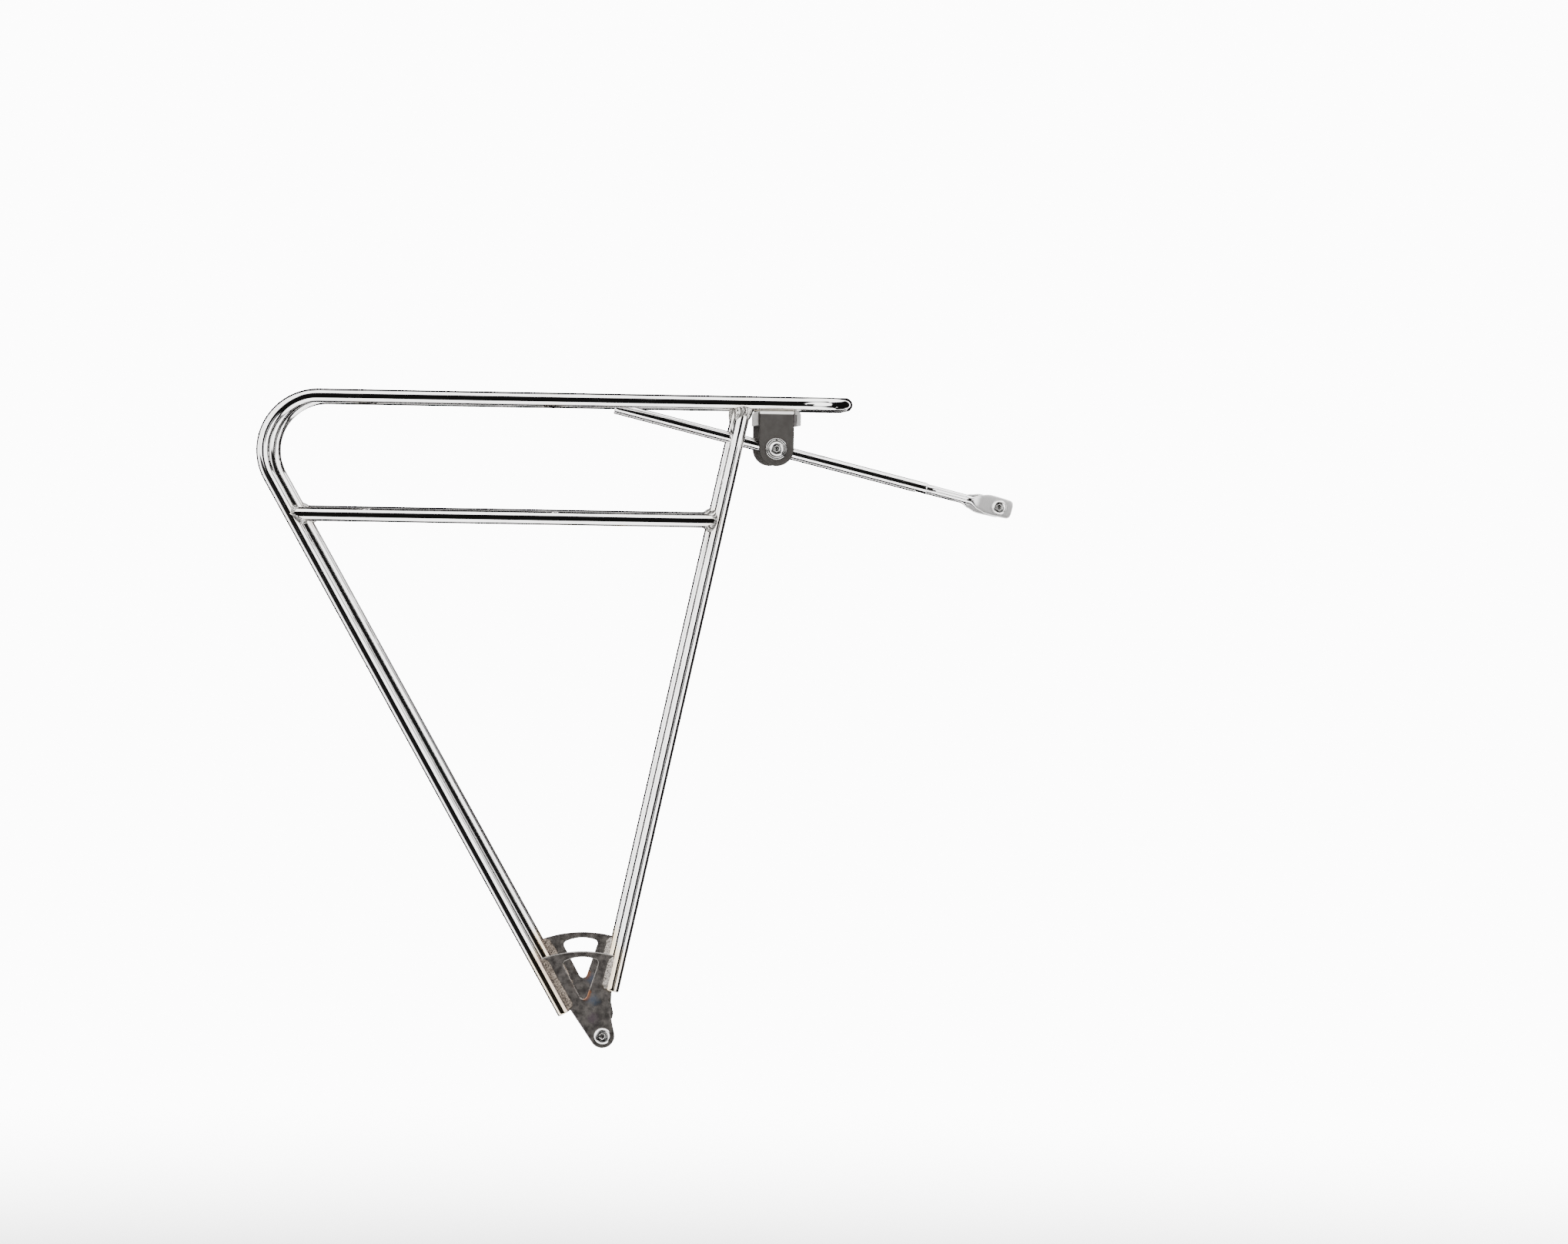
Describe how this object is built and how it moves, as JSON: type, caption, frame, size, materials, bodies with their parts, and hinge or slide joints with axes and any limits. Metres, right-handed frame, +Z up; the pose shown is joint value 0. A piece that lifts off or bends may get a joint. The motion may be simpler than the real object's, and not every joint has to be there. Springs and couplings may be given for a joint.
{
  "type": "rear rack",
  "caption": "Bicycle luggage carrier of bent and welded steel tube with a flat deck, side rails, triangular dropout plates and adjustable front stays.",
  "frame": {"origin": "midway between the two dropout bolts, on their common axis", "axes": "+X forwards along the bicycle, +Y to the bicycle's left, +Z up, with the deck level"},
  "size_m": [0.4446, 0.1576, 0.3826],
  "materials": {
    "polished_tube": "polished stainless tube with rough weld beads at its joints",
    "stay_steel": "polished round stainless bar",
    "bracket_sheet": "brushed stainless sheet with bright cut edges",
    "dropout_plate": "ground stainless plate with faint heat tint near its welds",
    "fastener_steel": "turned stainless bolts and washers"
  },
  "bodies": {
    "rack": {"main_tube": "polished_tube", "cross_tube_rear": "polished_tube", "cross_tube_middle": "polished_tube", "cross_tube_front": "polished_tube", "stay_bracket": "bracket_sheet", "front_leg_right": "polished_tube", "lower_rail_right": "polished_tube", "dropout_plate_right": "dropout_plate", "dropout_bolt_right": "fastener_steel", "front_leg_left": "polished_tube", "lower_rail_left": "polished_tube", "dropout_plate_left": "dropout_plate", "dropout_bolt_left": "fastener_steel"},
    "clamp_right": {"stay_eye_right": "stay_steel", "clamp_bolt_right": "fastener_steel", "clamp_washer_right": "fastener_steel", "lock_washer_right": "fastener_steel"},
    "stay_right": {"stay_bar_right": "stay_steel", "stay_end_right": "stay_steel", "end_bolt_right": "fastener_steel"},
    "clamp_left": {"stay_eye_left": "stay_steel", "clamp_bolt_left": "fastener_steel", "clamp_washer_left": "fastener_steel", "lock_washer_left": "fastener_steel"},
    "stay_left": {"stay_bar_left": "stay_steel", "stay_end_left": "stay_steel", "end_bolt_left": "fastener_steel"}
  },
  "joints": [
    {"name": "stay_tilt_right", "type": "hinge", "parent": "rack", "child": "clamp_right", "pos_m": [0.0962, -0.069, 0.3448], "axis": [0, 1, 0], "range_deg": [-31, 23]},
    {"name": "stay_slide_right", "type": "slide", "parent": "clamp_right", "child": "stay_right", "axis": [0.972, 0, -0.2351], "range_m": [-0.025, 0.06]},
    {"name": "stay_tilt_left", "type": "hinge", "parent": "rack", "child": "clamp_left", "pos_m": [0.0962, 0.069, 0.3448], "axis": [0, 1, 0], "range_deg": [-31, 23]},
    {"name": "stay_slide_left", "type": "slide", "parent": "clamp_left", "child": "stay_left", "axis": [0.972, 0, -0.2351], "range_m": [-0.025, 0.06]}
  ]
}
